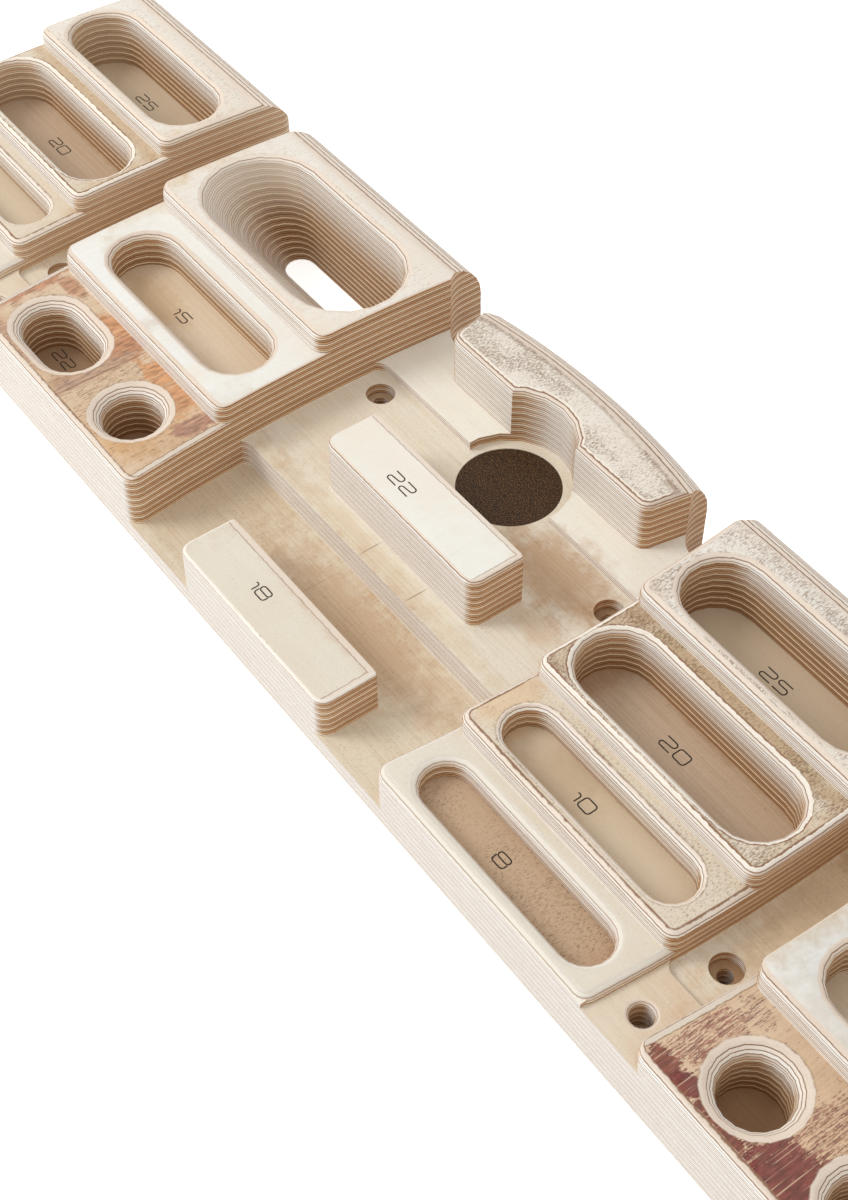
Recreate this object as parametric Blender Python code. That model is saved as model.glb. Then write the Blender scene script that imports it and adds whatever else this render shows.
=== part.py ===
"""Wooden finger training board, laid on its back.

Three birch plywood panels are glued into one blank and the front is milled into steps, pockets and bars.
Origin: middle of the back face. X runs along the board, Y to its upper edge in use, Z out of the front.
While it is modelled, X = 0 is the centreline of the sloper. The pieces are centred at the end.
"""
import math

import bpy
import bmesh
from mathutils import Matrix

# Panels of the blank
board_height = 0.160
back_thickness = 0.0134
core_thickness = 0.0180
face_thickness = 0.0171
glue_gap = 0.0003

# Blocks, from the middle outwards. Their sides are long arcs that bow away from the middle
side_arc_radius = 0.700
side_arc_level = 0.008
left_inner_side = 0.0774
left_jug_width = 0.1109
left_gap_width = 0.0201
left_row_width = 0.1018
right_inner_side = 0.0785
right_row_width = 0.1033
right_gap_width = 0.0205
right_jug_width = 0.1103

# Steps of the blocks: reach down from the upper edge, and drop below the face
row_step_reach = (0.0594, 0.1004, 0.1297)
row_step_drop = 0.0076
jug_step_reach = (0.0746, 0.1194)
jug_middle_drop = 0.0087
step_corner_radius = 0.005
front_edge_round = 0.003
row_side_round = 0.003
jug_side_round = 0.0008
top_edge_round = 0.018

# Floors of the centre bays and of the gaps between the blocks, above the back
low_bay_floor = 0.0083
mid_bay_floor = 0.0202
high_bay_floor = 0.0241
gap_floor = 0.0222
low_bay_width = 0.0504
mid_bay_width = 0.0616
bay_corner_radius = 0.006
gap_shelf_width = 0.0283
gap_recess_width = 0.1035
gap_corner_radius = 0.004

# Bars: edge depth above their bay, size in plan
low_bar_edge = 0.018
low_bar_length = 0.0861
low_bar_width = 0.0229
high_bar_edge = 0.0221
high_bar_length = 0.0852
high_bar_width = 0.0221
high_bar_front = 0.0610
bar_shift = 0.0019
bar_edge_round = 0.0015
bar_front_corner = 0.005
bar_back_corner = 0.0008

# Sloper, notches and the round cut-out behind the disc
sloper_drop = 0.0024
sloper_front_half = 0.0546
sloper_back_half = 0.0606
sloper_reach = 0.0335
sloper_crown_radius = 0.310
sloper_crown = 0.0005
notch_spacing = 0.0669
notch_radius = 0.0118
notch_depth = 0.0206
disc_level = 0.0479
disc_radius = 0.01915
disc_depth = 0.0003
disc_margin = 0.00385

# Pockets: size of the opening inside its rim, depth, land between step edge and wall, shift along X
row_pockets = {
    "25": {"width": 0.0892, "height": 0.0295, "depth": 0.025, "land": 0.0065, "shift": -0.0004},
    "20": {"width": 0.0918, "height": 0.0286, "depth": 0.020, "land": 0.0057, "shift": -0.0012},
    "10": {"width": 0.0834, "height": 0.0180, "depth": 0.010, "land": 0.0058, "shift": 0.0002},
    "8": {"width": 0.0848, "height": 0.0180, "depth": 0.008, "land": 0.0060, "shift": 0.0000},
}
jug_pockets = {
    "15": {"width": 0.0889, "height": 0.0268, "depth": 0.015, "land": 0.0100, "shift": 0.0002},
    "22": {"width": 0.0374, "height": 0.0218, "depth": 0.022, "land": 0.0090, "shift": -0.0241},
    "mono": {"width": 0.0218, "height": 0.0218, "depth": 0.022, "land": 0.0088, "shift": 0.0270},
}
row_rim_round = 0.0032
jug_rim_round = 0.0030
finger_rim_round = 0.0062
jug_mouth = {"width": 0.1002, "height": 0.0453, "land": 0.0072, "shift": 0.0006}
jug_slot = {"width": 0.0734, "height": 0.0126, "top_margin": 0.0216}

# Screw holes: counterbored in the bay and the recesses, wide with a rounded rim on the gap shelves
screw_radius = 0.0027
counterbore_radius = 0.0055
counterbore_depth = 0.0046
bay_screw_x = 0.0658
bay_screw_level = 0.0566
gap_screw_level = 0.1166
shelf_screw_level = 0.1470
shelf_bore_radius = 0.0039
shelf_bore_depth = 0.0140
shelf_rim_round = 0.0016

# Facets
side_steps = 8
corner_steps = 4
end_steps = 9
round_steps = 3

over = 0.006
top = board_height / 2
bottom = -board_height / 2
core_z = back_thickness + core_thickness
face_z = core_z + face_thickness
row_step_fronts = [top - reach for reach in row_step_reach] + [bottom]
row_step_tops = [face_z - row_step_drop * i for i in range(4)]
jug_step_fronts = [top - reach for reach in jug_step_reach] + [bottom]
jug_step_tops = [face_z, face_z - jug_middle_drop, core_z]

for old in list(bpy.data.objects):
    bpy.data.objects.remove(old, do_unlink=True)

parts = bpy.data.collections.new("finger_board")
bpy.context.scene.collection.children.link(parts)
cutters = bpy.data.collections.new("cutters")
bpy.context.scene.collection.children.link(cutters)


def add_tool(name, mesh):
    """A solid that only shapes the board."""
    tool = bpy.data.objects.new(name, mesh)
    cutters.objects.link(tool)
    tool.hide_render = True
    tool.display_type = "WIRE"
    return tool


def plate(name, outline, z0, z1):
    """Flat outline extruded from z0 to z1."""
    curve = bpy.data.curves.new(name, "CURVE")
    curve.dimensions = "2D"
    curve.fill_mode = "BOTH"
    curve.extrude = (z1 - z0) / 2
    spline = curve.splines.new("POLY")
    spline.points.add(len(outline) - 1)
    for point, (x, y) in zip(spline.points, outline):
        point.co = (x, y, 0.0, 1.0)
    spline.use_cyclic_u = True
    flat = bpy.data.objects.new(name, curve)
    cutters.objects.link(flat)
    graph = bpy.context.evaluated_depsgraph_get()
    mesh = bpy.data.meshes.new_from_object(flat.evaluated_get(graph))
    bpy.data.objects.remove(flat, do_unlink=True)
    bpy.data.curves.remove(curve)
    mesh.transform(Matrix.Translation((0.0, 0.0, (z0 + z1) / 2)))
    bm = bmesh.new()
    bm.from_mesh(mesh)
    bmesh.ops.remove_doubles(bm, verts=bm.verts, dist=1e-6)
    bmesh.ops.dissolve_limit(bm, angle_limit=0.001, verts=bm.verts, edges=bm.edges)
    bmesh.ops.recalc_face_normals(bm, faces=bm.faces)
    bm.to_mesh(mesh)
    bm.free()
    return add_tool(name, mesh)


def box(name, x0, x1, y0, y1, z0, z1):
    bm = bmesh.new()
    bmesh.ops.create_cube(bm, size=1.0)
    size = Matrix.Diagonal((x1 - x0, y1 - y0, z1 - z0, 1.0))
    place = Matrix.Translation(((x0 + x1) / 2, (y0 + y1) / 2, (z0 + z1) / 2))
    bmesh.ops.transform(bm, matrix=place @ size, verts=bm.verts)
    mesh = bpy.data.meshes.new(name)
    bm.to_mesh(mesh)
    bm.free()
    return add_tool(name, mesh)


def drill(name, x, y, radius, z0, z1, segments=24):
    bm = bmesh.new()
    place = Matrix.Translation((x, y, (z0 + z1) / 2))
    bmesh.ops.create_cone(bm, cap_ends=True, segments=segments, radius1=radius, radius2=radius,
                          depth=z1 - z0, matrix=place)
    mesh = bpy.data.meshes.new(name)
    bm.to_mesh(mesh)
    bm.free()
    return add_tool(name, mesh)


def loft(name, rings):
    """Closed solid through unlike rings of (outline, z), from the lowest to the highest."""
    bm = bmesh.new()
    loops = [[bm.verts.new((x, y, z)) for x, y in outline] for outline, z in rings]
    count = len(loops[0])
    bm.faces.new(list(reversed(loops[0])))
    bm.faces.new(loops[-1])
    for low, high in zip(loops, loops[1:]):
        for i in range(count):
            j = (i + 1) % count
            bm.faces.new((low[i], low[j], high[j], high[i]))
    bmesh.ops.remove_doubles(bm, verts=bm.verts, dist=1e-6)
    mesh = bpy.data.meshes.new(name)
    bm.to_mesh(mesh)
    bm.free()
    return add_tool(name, mesh)


def edge_inset(radius, depth):
    """How far a rounded edge has drawn in at a depth below the flat."""
    if depth >= radius:
        return 0.0
    return radius - math.sqrt(radius ** 2 - (radius - depth) ** 2)


def rounded_top(name, outline_at, z0, z, side_round, front_round):
    """Solid with rounded top edges: each ring is the outline drawn in at its sides and its front."""
    depths = {0.0, side_round}
    for i in range(1, round_steps + 1):
        depths.add(round(front_round * (1 - math.cos(math.pi / 2 * i / round_steps)), 6))
    rings = [(outline_at(0.0, 0.0), z0)]
    for depth in sorted(depths, reverse=True):
        rings.append((outline_at(edge_inset(side_round, depth), edge_inset(front_round, depth)), z - depth))
    return loft(name, rings)


def split_faces(mesh):
    bm = bmesh.new()
    bm.from_mesh(mesh)
    bmesh.ops.triangulate(bm, faces=bm.faces)
    bm.to_mesh(mesh)
    bm.free()


def join_flat_faces(mesh):
    bm = bmesh.new()
    bm.from_mesh(mesh)
    bmesh.ops.dissolve_limit(bm, angle_limit=0.0005, verts=bm.verts, edges=bm.edges)
    bmesh.ops.dissolve_degenerate(bm, dist=1e-6, edges=bm.edges)
    bm.to_mesh(mesh)
    bm.free()


def bake(target, tool, operation):
    """Apply one exact Boolean to a solid; triangles go in, and flat ones are joined again after it."""
    split_faces(target.data)
    split_faces(tool.data)
    step = target.modifiers.new(operation.lower(), "BOOLEAN")
    step.operation = operation
    step.solver = "EXACT"
    step.object = tool
    graph = bpy.context.evaluated_depsgraph_get()
    graph.update()
    mesh = bpy.data.meshes.new_from_object(target.evaluated_get(graph))
    target.modifiers.remove(step)
    join_flat_faces(mesh)
    old = target.data
    target.data = mesh
    bpy.data.meshes.remove(old)


def arc(centre, radius, start, end, steps):
    """Points of a circular arc, or of an elliptical one where the radius is a pair."""
    rx, ry = radius if isinstance(radius, tuple) else (radius, radius)
    points = []
    for i in range(steps + 1):
        angle = start + (end - start) * i / steps
        points.append((centre[0] + rx * math.cos(angle), centre[1] + ry * math.sin(angle)))
    return points


def bow(y, side):
    """How far the sides of a block have come back towards the middle of the board at the level y."""
    return -side * (y - side_arc_level) ** 2 / (2 * side_arc_radius)


def lean(y, side):
    return -side * (y - side_arc_level) / side_arc_radius


def bowed_outline(x0, x1, y0, y1, side, radius, inset=0.0, front_inset=0.0):
    """Outline of a block whose two sides are parallel long arcs; the corners are rounded."""
    half = math.pi / 2
    front, back = (radius - inset, radius - front_inset), (radius - inset, radius)
    yf, yb = y0 + radius, y1 - radius
    mf, mb = lean(yf, side), lean(yb, side)
    wf, wb = radius * math.hypot(1, mf), radius * math.hypot(1, mb)
    points = arc((x0 + bow(yf, side) + wf, yf), front, math.pi - math.atan(mf), 3 * half, corner_steps)
    points += arc((x1 + bow(yf, side) - wf, yf), front, -half, -math.atan(mf), corner_steps)
    for i in range(1, side_steps):
        y = yf + (yb - yf) * i / side_steps
        points.append((x1 + bow(y, side) - inset, y))
    points += arc((x1 + bow(yb, side) - wb, yb), back, -math.atan(mb), half, corner_steps)
    points += arc((x0 + bow(yb, side) + wb, yb), back, half, math.pi - math.atan(mb), corner_steps)
    for i in range(1, side_steps):
        y = yb + (yf - yb) * i / side_steps
        points.append((x0 + bow(y, side) + inset, y))
    return points


def slot_outline(x, y, width, height, grow=0.0):
    """Slot with full round ends."""
    radius = height / 2 + grow
    reach = (width - height) / 2
    half = math.pi / 2
    points = arc((x + reach, y), radius, -half, half, end_steps)
    points += arc((x - reach, y), radius, half, 3 * half, end_steps)
    return points


def rounded_outline(x0, x1, y0, y1, front_radius, back_radius):
    half = math.pi / 2
    points = arc((x0 + front_radius, y0 + front_radius), front_radius, math.pi, 3 * half, corner_steps)
    points += arc((x1 - front_radius, y0 + front_radius), front_radius, -half, 0.0, corner_steps)
    points += arc((x1 - back_radius, y1 - back_radius), back_radius, 0.0, half, corner_steps)
    points += arc((x0 + back_radius, y1 - back_radius), back_radius, half, math.pi, corner_steps)
    return points


def rim_rings(x, y, width, height, z, rim):
    """Rings of a slot's rounded rim, opening out to the surface at z."""
    rings = []
    for i in range(round_steps + 1):
        angle = math.pi / 2 * i / round_steps
        grow = rim * (1 - math.cos(angle))
        rings.append((slot_outline(x, y, width, height, grow), z - rim * (1 - math.sin(angle))))
    rings.append((rings[-1][0], z + over))
    return rings


def crown_path(reach):
    """Long arc of the sloper's upper edge, from +X to -X: points and outward normals."""
    path = []
    sweep = math.asin(reach / sloper_crown_radius)
    for i in range(2 * side_steps + 1):
        angle = math.pi / 2 - sweep + 2 * sweep * i / (2 * side_steps)
        normal = (math.cos(angle), math.sin(angle))
        centre_y = top + sloper_crown - sloper_crown_radius
        path.append(((sloper_crown_radius * normal[0], centre_y + sloper_crown_radius * normal[1]), normal))
    return path


# Blank up to the high bay floor; its ends are the sides of the outer blocks
left_jug_sides = (-left_inner_side - left_jug_width, -left_inner_side)
left_row_sides = (left_jug_sides[0] - left_gap_width - left_row_width, left_jug_sides[0] - left_gap_width)
right_row_sides = (right_inner_side, right_inner_side + right_row_width)
right_jug_sides = (right_row_sides[1] + right_gap_width, right_row_sides[1] + right_gap_width + right_jug_width)
left_end, right_end = left_row_sides[0], right_jug_sides[1]
end_inset = 0.0002
waste = 0.002
outline = []
for i in range(side_steps + 1):
    y = bottom + board_height * i / side_steps
    outline.append((right_end + bow(y, 1) - end_inset, y))
outline += [(notch_spacing, top), (notch_spacing, top + waste)]
outline += [(-notch_spacing, top + waste), (-notch_spacing, top)]
for i in range(side_steps + 1):
    y = top - board_height * i / side_steps
    outline.append((left_end + bow(y, -1) + end_inset, y))
milled = plate("milled_board", outline, 0.0, high_bay_floor)

# Centre bays and the gaps between the blocks, milled to their floors
low_bay_top = bottom + low_bay_width
mid_bay_top = low_bay_top + mid_bay_width
sky = face_z + over
under = 0.0005
bay = rounded_outline(-left_inner_side - under, right_inner_side + under, low_bay_top - 3 * over, mid_bay_top,
                      bay_corner_radius, bay_corner_radius)
bake(milled, plate("mid_bay", bay, mid_bay_floor, sky), "DIFFERENCE")
bay = rounded_outline(-left_inner_side - under, right_inner_side + under, bottom - 3 * over, low_bay_top,
                      bay_corner_radius, bay_corner_radius)
bake(milled, plate("low_bay", bay, low_bay_floor, sky), "DIFFERENCE")
gaps = (("left", left_row_sides[1], left_jug_sides[0], -1),
        ("right", right_row_sides[1], right_jug_sides[0], 1))
for name, x0, x1, side in gaps:
    tool = box(name + "_gap", x0 - over, x1 + over, bottom - over, top + over, gap_floor, sky)
    bake(milled, tool, "DIFFERENCE")
    y0 = bottom + gap_shelf_width
    recess = bowed_outline(x0 - under / 2, x1 + under / 2, y0, y0 + gap_recess_width, side, gap_corner_radius)
    bake(milled, plate(name + "_gap_recess", recess, mid_bay_floor, sky), "DIFFERENCE")


def add_steps(name, sides, side, fronts, tops, side_round):
    """Steps of one block, lowest first, each set back a hair from the one below."""
    root = 0.004
    count = len(tops)
    for i in reversed(range(count)):
        hair = 0.00012 * (count - 1 - i)
        x0, x1, front = sides[0] + hair, sides[1] - hair, fronts[i]

        def step_outline(inset, front_inset):
            return bowed_outline(x0, x1, front, top, side, step_corner_radius, inset, front_inset)

        tool = rounded_top("{}_step_{}".format(name, i + 1), step_outline, root + 5 * hair, tops[i],
                           side_round, front_edge_round)
        bake(milled, tool, "UNION")


add_steps("left_row", left_row_sides, -1, row_step_fronts, row_step_tops, row_side_round)
add_steps("left_jug", left_jug_sides, -1, jug_step_fronts, jug_step_tops, jug_side_round)
add_steps("right_row", right_row_sides, 1, row_step_fronts, row_step_tops, row_side_round)
add_steps("right_jug", right_jug_sides, 1, jug_step_fronts, jug_step_tops, jug_side_round)


def add_bar(name, length, width, front, floor, edge):
    x0, x1 = bar_shift - length / 2, bar_shift + length / 2

    def bar_outline(inset, front_inset):
        return rounded_outline(x0 + inset, x1 - inset, front + inset, front + width, bar_front_corner - inset,
                               bar_back_corner)

    tool = rounded_top(name, bar_outline, floor - 0.004, floor + edge, bar_edge_round, bar_edge_round)
    bake(milled, tool, "UNION")


add_bar("low_bar", low_bar_length, low_bar_width, bottom, low_bay_floor, low_bar_edge)
high_bar_y = bottom + high_bar_front
add_bar("high_bar", high_bar_length, high_bar_width, high_bar_y, mid_bay_floor, high_bar_edge)

# Sloper: straight front, sides that open out, and a long arc behind
sloper_z = face_z - sloper_drop
sloper_front = top - sloper_reach
half = math.pi / 2


def sloper_outline(inset, front_inset):
    radius = step_corner_radius
    side_x = sloper_front_half - radius
    corner = (radius - inset, radius - inset)
    points = arc((-side_x, sloper_front + radius), corner, math.pi, 3 * half, corner_steps)
    points += arc((side_x, sloper_front + radius), corner, -half, 0.0, corner_steps)
    return points + [(sloper_back_half - inset, top + waste), (inset - sloper_back_half, top + waste)]


tool = rounded_top("sloper", sloper_outline, 0.004, sloper_z, front_edge_round, front_edge_round)
bake(milled, tool, "UNION")


def edge_cove(name, z, low, path):
    """Waste outside an upper edge and its quarter circle; path holds points and outward normals."""
    r = top_edge_round
    steps = 2 * round_steps
    section = []
    for i in range(steps + 1):
        angle = math.pi / 2 * i / steps
        section.append((r * math.sin(angle) - r, z - r + r * math.cos(angle)))
    if low < z - r:
        section.append((0.0, low))
    section += [(2 * over, low), (2 * over, z + over), (-r, z + over)]
    bm = bmesh.new()
    loops = []
    for point, normal in path:
        loops.append([bm.verts.new((point[0] + normal[0] * out, point[1] + normal[1] * out, h))
                      for out, h in section])
    count = len(section)
    for a, b in zip(loops, loops[1:]):
        for i in range(count):
            j = (i + 1) % count
            bm.faces.new((a[i], a[j], b[j], b[i]))
    bm.faces.new(loops[0])
    bm.faces.new(list(reversed(loops[-1])))
    bmesh.ops.recalc_face_normals(bm, faces=bm.faces)
    mesh = bpy.data.meshes.new(name)
    bm.to_mesh(mesh)
    bm.free()
    return add_tool(name, mesh)


# Rounded upper edges of the blocks and of the sloper
for name, x0, x1 in (("left", left_end - over, -notch_spacing), ("right", notch_spacing, right_end + over)):
    path = [((x1, top), (0.0, 1.0)), ((x0, top), (0.0, 1.0))]
    bake(milled, edge_cove(name + "_top_edge", face_z, face_z - top_edge_round, path), "DIFFERENCE")
bake(milled, edge_cove("sloper_top_edge", sloper_z, -over, crown_path(notch_spacing - waste)), "DIFFERENCE")

# Notches beside the sloper, open to the upper edge
notch_y = top - notch_depth + notch_radius
for name, x in (("left", -notch_spacing), ("right", notch_spacing)):
    shape = [(x + notch_radius, top + over), (x - notch_radius, top + over)]
    shape += arc((x, notch_y), notch_radius, math.pi, 2 * math.pi, 2 * end_steps)
    bake(milled, plate(name + "_notch", shape, -over, sky), "DIFFERENCE")

# Round cut-out around the disc, and the disc as a shallow engraving in the bay floor
disc_y = top - disc_level
cut = 2 * (disc_radius + disc_margin)
rings = [(slot_outline(0.0, disc_y, cut, cut), mid_bay_floor)]
rings += rim_rings(0.0, disc_y, cut, cut, sloper_z, front_edge_round)
bake(milled, loft("disc_cut", rings), "DIFFERENCE")
tool = drill("disc", 0.0, disc_y, disc_radius, mid_bay_floor - disc_depth, mid_bay_floor + over, 48)
bake(milled, tool, "DIFFERENCE")


def cut_pocket(name, spec, centre_x, side, front, z, rim, towards=1):
    """Flat-bottomed slot pocket with a rounded rim, on the bowed centreline of its block."""
    y = front + spec["land"] + spec["height"] / 2
    x = centre_x + bow(y, side) + towards * spec["shift"]
    rings = [(slot_outline(x, y, spec["width"], spec["height"]), z - spec["depth"])]
    rings += rim_rings(x, y, spec["width"], spec["height"], z, rim)
    bake(milled, loft(name, rings), "DIFFERENCE")


def cut_jug(name, centre_x, side):
    """Jug: the wall climbs from a slot through the back panel to the wide mouth with its rounded rim."""
    y = jug_step_fronts[0] + jug_mouth["land"] + jug_mouth["height"] / 2
    x = centre_x + bow(y, side) - side * jug_mouth["shift"]
    width, height = jug_mouth["width"], jug_mouth["height"]
    slot_y = top - jug_slot["top_margin"] - jug_slot["height"] / 2
    start = face_z - jug_rim_round
    below = over / start
    slot_width = jug_slot["width"] - (width - jug_slot["width"]) * below
    slot_height = jug_slot["height"] - (height - jug_slot["height"]) * below
    rings = [(slot_outline(x, slot_y - (y - slot_y) * below, slot_width, slot_height), -over)]
    rings += rim_rings(x, y, width, height, face_z, jug_rim_round)
    bake(milled, loft(name, rings), "DIFFERENCE")


for name, sides, side in (("left", left_row_sides, -1), ("right", right_row_sides, 1)):
    middle = (sides[0] + sides[1]) / 2
    for (label, spec), front, z in zip(row_pockets.items(), row_step_fronts, row_step_tops):
        cut_pocket("{}_{}_pocket".format(name, label), spec, middle, side, front, z, row_rim_round)
for name, sides, side in (("left", left_jug_sides, -1), ("right", right_jug_sides, 1)):
    middle = (sides[0] + sides[1]) / 2
    cut_jug(name + "_jug", middle, side)
    cut_pocket(name + "_15_pocket", jug_pockets["15"], middle, side, jug_step_fronts[1], jug_step_tops[1],
               jug_rim_round, -side)
    for label in ("22", "mono"):
        cut_pocket("{}_{}_pocket".format(name, label), jug_pockets[label], middle, side, jug_step_fronts[2],
                   jug_step_tops[2], finger_rim_round, -side)

# Screw holes
counterbored = [("bay_left", -bay_screw_x, top - bay_screw_level),
                ("bay_right", bay_screw_x, top - bay_screw_level)]
for name, x0, x1, side in gaps:
    y = top - gap_screw_level
    counterbored.append((name + "_gap", (x0 + x1) / 2 + bow(y, side), y))
    y = top - shelf_screw_level
    x = (x0 + x1) / 2 + bow(y, side)
    bake(milled, drill(name + "_shelf_screw", x, y, screw_radius, -over, gap_floor + over), "DIFFERENCE")
    bore = 2 * shelf_bore_radius
    rings = [(slot_outline(x, y, bore, bore), gap_floor - shelf_bore_depth)]
    rings += rim_rings(x, y, bore, bore, gap_floor, shelf_rim_round)
    bake(milled, loft(name + "_shelf_bore", rings), "DIFFERENCE")
for name, x, y in counterbored:
    bake(milled, drill(name + "_screw", x, y, screw_radius, -over, mid_bay_floor + over), "DIFFERENCE")
    tool = drill(name + "_counterbore", x, y, counterbore_radius, mid_bay_floor - counterbore_depth,
                 mid_bay_floor + over)
    bake(milled, tool, "DIFFERENCE")


def wood(name, colour, roughness):
    material = bpy.data.materials.new(name)
    material.use_nodes = True
    shader = material.node_tree.nodes["Principled BSDF"]
    shader.inputs["Base Color"].default_value = (*colour, 1.0)
    shader.inputs["Roughness"].default_value = roughness
    shader.inputs["Metallic"].default_value = 0.0
    return material


def glued_piece(name, envelope, colour, roughness, without=None):
    """One glued piece: the milled board inside its envelope, centred on the board."""
    piece = bpy.data.objects.new(name, milled.data.copy())
    piece.data.name = name
    parts.objects.link(piece)
    bake(piece, box(name + "_envelope", *envelope), "INTERSECT")
    if without is not None:
        bake(piece, box(name + "_island", *without), "DIFFERENCE")
    piece.data.materials.clear()
    piece.data.materials.append(wood(name + "_wood", colour, roughness))
    piece.data.shade_smooth()
    piece.data.set_sharp_from_angle(angle=math.radians(32))
    piece.location = (-(left_end + right_end) / 2, -sloper_crown / 2, 0.0)
    return piece


x0, x1 = left_end - over, right_end + over
y0, y1 = bottom - over, top + over
core_bottom = back_thickness + glue_gap
face_bottom = core_z + glue_gap
left_split = (left_row_sides[1] + left_jug_sides[0]) / 2
right_split = (right_row_sides[1] + right_jug_sides[0]) / 2
bar_end = low_bar_length / 2 + under
island = (bar_shift - bar_end, bar_shift + bar_end, y0, bottom + low_bar_width + under, core_bottom - 0.001, sky)
glued_piece("back_sheet", (x0, x1, y0, y1, -over, back_thickness), (0.72, 0.56, 0.38), 0.62)
glued_piece("core_sheet", (x0, x1, y0, y1, core_bottom, core_z), (0.80, 0.66, 0.48), 0.62, island)
glued_piece("edge_bar_low", (*island[:4], core_bottom, sky), (0.86, 0.78, 0.64), 0.60)
glued_piece("block_a_face", (x0, left_split, y0, y1, face_bottom, sky), (0.86, 0.78, 0.64), 0.60)
glued_piece("block_b_face", (left_split, -notch_spacing, y0, y1, face_bottom, sky), (0.88, 0.81, 0.69), 0.60)
glued_piece("block_c_face", (notch_spacing, right_split, y0, y1, face_bottom, sky), (0.82, 0.74, 0.62), 0.60)
glued_piece("block_d_face", (right_split, x1, y0, y1, face_bottom, sky), (0.88, 0.81, 0.69), 0.60)
behind_bar = (high_bar_y + high_bar_width + sloper_front) / 2
middle = (-notch_spacing, notch_spacing)
glued_piece("edge_bar_high", (*middle, y0, behind_bar, face_bottom, sky), (0.90, 0.85, 0.76), 0.58)
glued_piece("sloper_face", (*middle, behind_bar, y1, face_bottom, sky), (0.78, 0.71, 0.60), 0.64)
bpy.data.objects.remove(milled, do_unlink=True)
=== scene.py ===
import math

import bmesh
import bpy
from mathutils import Euler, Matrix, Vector


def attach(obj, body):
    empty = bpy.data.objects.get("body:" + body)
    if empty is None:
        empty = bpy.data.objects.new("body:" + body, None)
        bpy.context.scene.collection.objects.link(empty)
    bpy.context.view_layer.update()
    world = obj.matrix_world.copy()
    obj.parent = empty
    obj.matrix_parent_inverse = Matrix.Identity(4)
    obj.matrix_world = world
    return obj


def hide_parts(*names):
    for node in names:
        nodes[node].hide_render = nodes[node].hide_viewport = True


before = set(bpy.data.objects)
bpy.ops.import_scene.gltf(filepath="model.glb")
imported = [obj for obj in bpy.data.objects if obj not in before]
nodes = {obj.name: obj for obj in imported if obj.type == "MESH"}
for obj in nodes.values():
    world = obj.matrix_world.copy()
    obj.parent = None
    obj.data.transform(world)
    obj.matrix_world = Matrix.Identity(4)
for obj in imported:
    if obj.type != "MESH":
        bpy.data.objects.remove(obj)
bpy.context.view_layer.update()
print("frame loaded:", len(nodes), "nodes")


# camera, matched to the photograph
view = {
    "place": (0.37719, -0.28275, 0.53344),
    "turn": (40.5169, 0.2482, 53.5036),
    "lens": 60.0765,
}
lens = bpy.data.cameras.new("boardCamera")
lens.lens = view["lens"]
lens.sensor_width = 36
lens.clip_start = 0.01
camera = bpy.data.objects.new("boardCamera", lens)
camera.location = view["place"]
camera.rotation_euler = Euler([math.radians(a) for a in view["turn"]])
bpy.context.collection.objects.link(camera)
bpy.context.scene.camera = camera
bpy.context.scene.view_settings.view_transform = "Standard"


def addNode(tree, kind, inputs=None, **settings):
    made = tree.nodes.new(kind)
    for key, value in settings.items():
        setattr(made, key, value)
    for key, value in (inputs or {}).items():
        if isinstance(value, bpy.types.NodeSocket):
            tree.links.new(value, made.inputs[key])
        else:
            made.inputs[key].default_value = value
    return made


def calc(tree, operation, a, b=0.0, c=0.0):
    return addNode(tree, "ShaderNodeMath", {0: a, 1: b, 2: c}, operation=operation).outputs[0]


def times(tree, *factors):
    made = factors[0]
    for factor in factors[1:]:
        made = calc(tree, "MULTIPLY", made, factor)
    return made


def offset(tree, value, middle):
    return calc(tree, "ABSOLUTE", calc(tree, "SUBTRACT", value, middle))


def within(tree, value, middle, half):
    # 1 where the value is less than half away from the middle
    return calc(tree, "LESS_THAN", offset(tree, value, middle), half)


def spread(tree, value, low, high, newLow=0.0, newHigh=1.0):
    made = addNode(tree, "ShaderNodeMapRange", {0: value, 1: low, 2: high, 3: newLow, 4: newHigh})
    made.interpolation_type = "SMOOTHSTEP"
    return made.outputs[0]


def between(tree, value, fades):
    # 1 from the second level to the third, fading to 0 at the first and at the last
    return times(tree, spread(tree, value, fades[0], fades[1]), spread(tree, value, fades[3], fades[2]))


def stretch(tree, vector, factors):
    made = addNode(tree, "ShaderNodeVectorMath", {0: vector, 1: factors}, operation="MULTIPLY")
    return made.outputs[0]


def grainNoise(tree, vector, factors, detail=2.0, rough=0.5):
    made = addNode(tree, "ShaderNodeTexNoise", {"Vector": stretch(tree, vector, factors), "Scale": 1.0,
                                                "Detail": detail, "Roughness": rough})
    return made.outputs[0]


def tone(tree, amount, a, b, mode="MIX"):
    made = addNode(tree, "ShaderNodeMix", data_type="RGBA", blend_type=mode)
    for index, value in ((0, amount), (6, a), (7, b)):
        if isinstance(value, bpy.types.NodeSocket):
            tree.links.new(value, made.inputs[index])
        elif index == 0:
            made.inputs[index].default_value = value
        else:
            made.inputs[index].default_value = (*value, 1.0)
    return made.outputs[2]


def ramp(tree, value, stops, interpolation="LINEAR"):
    made = addNode(tree, "ShaderNodeValToRGB", {0: value})
    made.color_ramp.interpolation = interpolation
    points = made.color_ramp.elements
    while len(points) < len(stops):
        points.new(0.5)
    for point, (position, colour) in zip(points, stops):
        point.position = position
        point.color = (*colour, 1.0)
    return made.outputs[0]


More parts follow.
